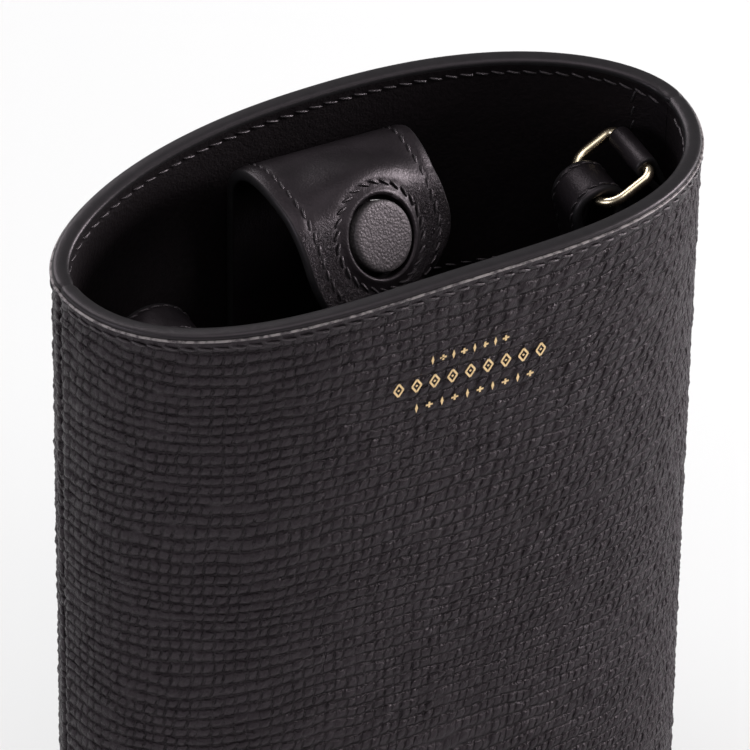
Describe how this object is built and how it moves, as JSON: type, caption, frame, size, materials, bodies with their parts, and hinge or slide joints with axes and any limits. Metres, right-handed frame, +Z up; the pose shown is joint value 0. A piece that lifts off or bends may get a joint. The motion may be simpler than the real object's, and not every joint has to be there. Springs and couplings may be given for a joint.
{
  "type": "soft leather case",
  "caption": "Upright soft leather case with an open oval mouth, a magnetic closing tab and a carry strap looped on two D-rings inside.",
  "frame": {"origin": "middle of the footprint between the two side seams, on the surface that the case stands on", "axes": "+Z up to the mouth, +X along the mouth's long axis to the right side seam, the front panel faces -Y"},
  "size_m": [0.1304, 0.063, 0.1905],
  "materials": {
    "outer_leather": "cross-grain embossed calf, satin",
    "stiffener_board": "grey bonded board",
    "smooth_leather": "smooth calf with fine pores, satin",
    "lining_suede": "matte suede",
    "edge_paint": "smooth matte edge paint",
    "seam_tape": "woven tape",
    "magnet_nickel": "nickel plated",
    "cap_leather": "fine grained, matte",
    "ring_gold": "polished pale gold plate",
    "thread": "bonded thread",
    "gold_foil": "hot foil stamping"
  },
  "bodies": {
    "case": {"front_outer_panel": "outer_leather", "back_outer_panel": "outer_leather", "base_leather": "outer_leather", "front_stiffener": "stiffener_board", "back_stiffener": "stiffener_board", "base_board": "stiffener_board", "front_facing": "smooth_leather", "back_facing": "smooth_leather", "front_lining": "lining_suede", "back_lining": "lining_suede", "base_lining": "lining_suede", "front_rim_edge": "edge_paint", "back_rim_edge": "edge_paint", "left_seam_tape": "seam_tape", "right_seam_tape": "seam_tape", "front_magnet": "magnet_nickel", "left_ring_chape": "smooth_leather", "right_ring_chape": "smooth_leather"},
    "tab_riser": {"tab_riser_face": "smooth_leather", "tab_riser_back": "smooth_leather"},
    "tab_flap": {"tab_flap_face": "smooth_leather", "tab_flap_back": "smooth_leather", "tab_magnet_cap": "cap_leather", "tab_magnet": "magnet_nickel"},
    "left_ring": {"left_d_ring": "ring_gold"},
    "right_ring": {"right_d_ring": "ring_gold"},
    "strap": {"carry_strap": "smooth_leather", "left_strap_end": "smooth_leather", "right_strap_end": "smooth_leather"}
  },
  "joints": [
    {"name": "riser_lean", "type": "hinge", "parent": "case", "child": "tab_riser", "pos_m": [0, 0.0216, 0.1445], "axis": [1, 0, 0], "range_deg": [0, 19], "stiffness_Nm_per_rad": 0.08},
    {"name": "flap_open", "type": "hinge", "parent": "tab_riser", "child": "tab_flap", "pos_m": [0, 0.01642, 0.18642], "axis": [-1, 0, 0], "range_deg": [0, 100]},
    {"name": "strap_lift", "type": "slide", "parent": "case", "child": "strap", "axis": [0, 0, 1], "range_m": [0, 0.0155]},
    {"name": "right_ring_swing", "type": "hinge", "parent": "case", "child": "right_ring", "pos_m": [0.0546, 0, 0.1757], "axis": [0, 1, 0], "range_deg": [0, 57.6]},
    {"name": "left_ring_swing", "type": "hinge", "parent": "case", "child": "left_ring", "pos_m": [-0.056, 0, 0.1675], "axis": [0, -1, 0], "range_deg": [0, 57.6]}
  ],
  "couplings": [
    {"joint": "right_ring_swing", "follows": "strap_lift", "rad_per_m": 64.8},
    {"joint": "left_ring_swing", "follows": "strap_lift", "rad_per_m": 64.8}
  ]
}
